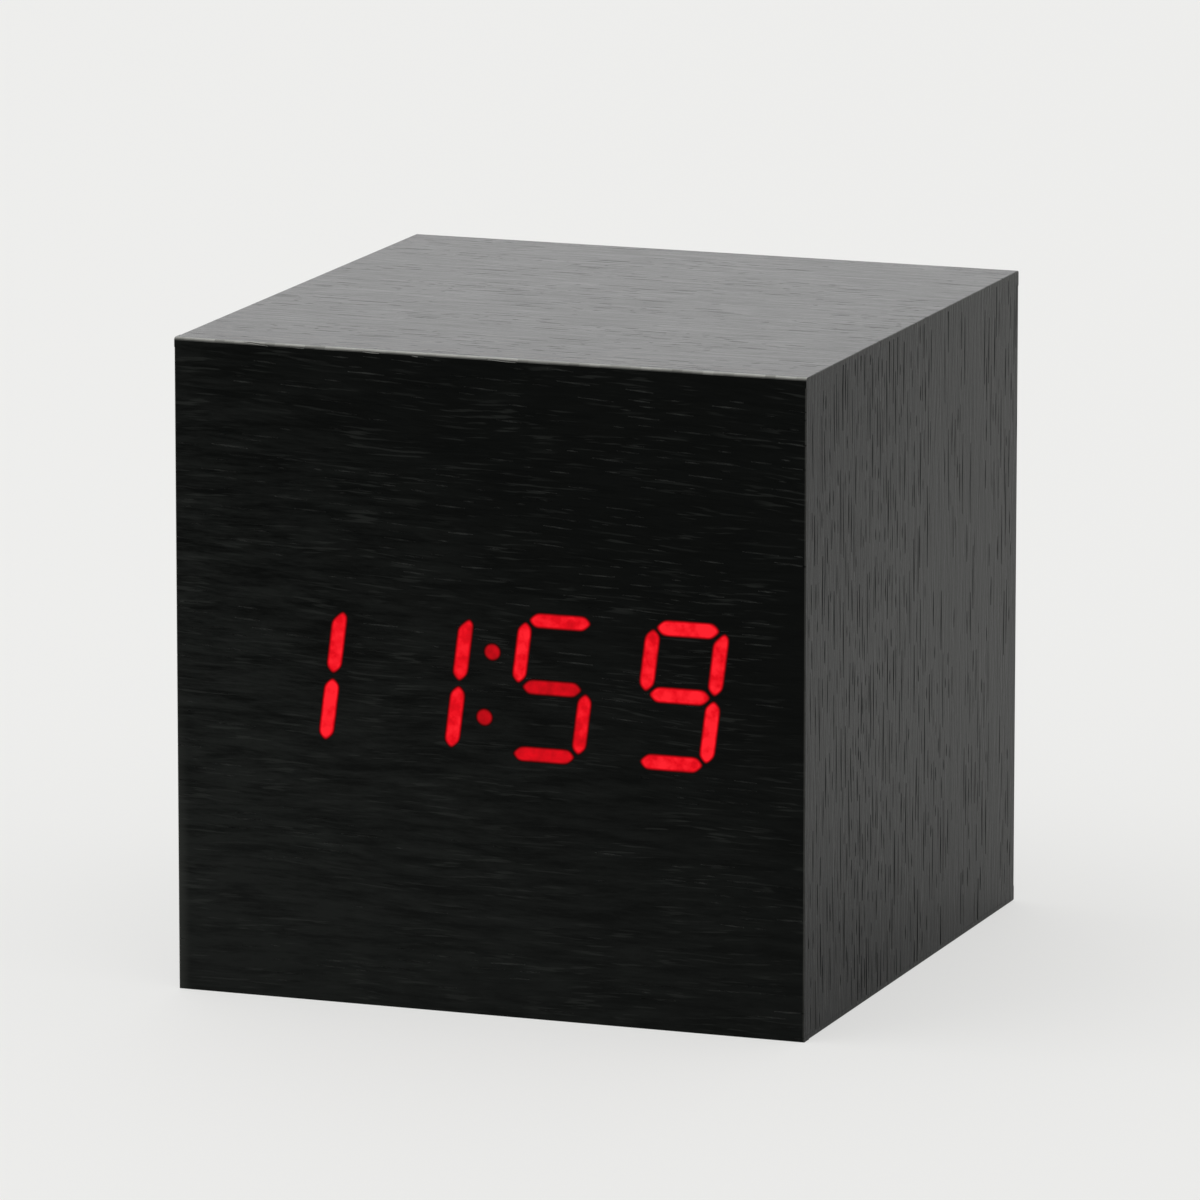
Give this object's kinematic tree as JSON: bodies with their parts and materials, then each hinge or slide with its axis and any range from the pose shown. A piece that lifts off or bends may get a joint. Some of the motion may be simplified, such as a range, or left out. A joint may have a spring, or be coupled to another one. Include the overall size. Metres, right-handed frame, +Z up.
{
  "type": "digital cube clock",
  "caption": "Cube-shaped digital clock in black wood veneer, with red seven-segment digits shining through the front, a set-in rear cover, keys and a battery door.",
  "frame": {"origin": "middle of the base, on the surface the clock stands on", "axes": "+Z up, display faces -Y, +X to the right as seen from the front"},
  "size_m": [0.062, 0.062, 0.062],
  "materials": {
    "veneer": "thin open-pored wood veneer dyed black, satin; grain level on front and top, upright on the sides",
    "fibreboard": "plain medium-density fibreboard",
    "softwood": "sawn softwood",
    "case_plastic": "black moulded ABS with a fine spark-eroded texture",
    "key_plastic": "black moulded ABS, satin",
    "white_plastic": "opaque white moulded ABS",
    "diffuser": "thin milky film",
    "led_red": "red light source, lit",
    "circuit_board": "glass-fibre circuit board, green solder resist",
    "chip_plastic": "moulded epoxy",
    "plated_steel": "nickel-plated steel",
    "screw_steel": "black-zinc steel",
    "cell_can": null,
    "red_sleeve": "red wire insulation",
    "black_sleeve": "black wire insulation",
    "ribbon_grey": "grey flat cable"
  },
  "bodies": {
    "case": {"front_veneer": "veneer", "top_veneer": "veneer", "bottom_veneer": "veneer", "left_veneer": "veneer", "right_veneer": "veneer", "back_edging": "veneer", "front_board": "fibreboard", "top_board": "fibreboard", "bottom_board": "fibreboard", "left_board": "fibreboard", "right_board": "fibreboard", "glue_blocks": "softwood", "cover_screws": "screw_steel", "diffuser_film": "diffuser", "light_shield": "white_plastic", "segment_leds": "led_red", "display_board": "circuit_board", "display_screws": "plated_steel", "timer_chip": "chip_plastic", "chip_legs": "plated_steel", "coin_holder": "chip_plastic", "coin_cell": "plated_steel", "coin_clip": "plated_steel", "buzzer": "chip_plastic", "capacitor": "plated_steel", "crystal": "plated_steel", "thermistor": "chip_plastic", "resistors": "chip_plastic", "display_header": "chip_plastic", "ribbon_cable": "ribbon_grey", "key_header": "chip_plastic", "rear_cover": "case_plastic", "battery_cells": "cell_can", "contact_plates": "plated_steel", "contact_springs": "plated_steel", "positive_wire": "red_sleeve", "negative_wire": "black_sleeve", "key_board": "circuit_board", "board_screws": "plated_steel", "switch_bodies": "chip_plastic", "socket_shell": "plated_steel", "socket_insert": "chip_plastic", "microphone": "plated_steel"},
    "door": {"battery_door": "case_plastic"},
    "set_key": {"set_button": "key_plastic", "set_plunger": "chip_plastic"},
    "up_key": {"up_button": "key_plastic", "up_plunger": "chip_plastic"},
    "down_key": {"down_button": "key_plastic", "down_plunger": "chip_plastic"}
  },
  "joints": [
    {"name": "set_press", "type": "slide", "parent": "case", "child": "set_key", "axis": [0, -1, 0], "range_m": [0, 0.0003], "stiffness_N_per_m": 900, "springref_m": -0.0008},
    {"name": "up_press", "type": "slide", "parent": "case", "child": "up_key", "axis": [0, -1, 0], "range_m": [0, 0.0003], "stiffness_N_per_m": 900, "springref_m": -0.0008},
    {"name": "down_press", "type": "slide", "parent": "case", "child": "down_key", "axis": [0, -1, 0], "range_m": [0, 0.0003], "stiffness_N_per_m": 900, "springref_m": -0.0008},
    {"name": "door_hinge", "type": "hinge", "parent": "case", "child": "door", "pos_m": [0, 0.03, 0.0098], "axis": [-1, 0, 0], "range_deg": [0, 40]}
  ]
}
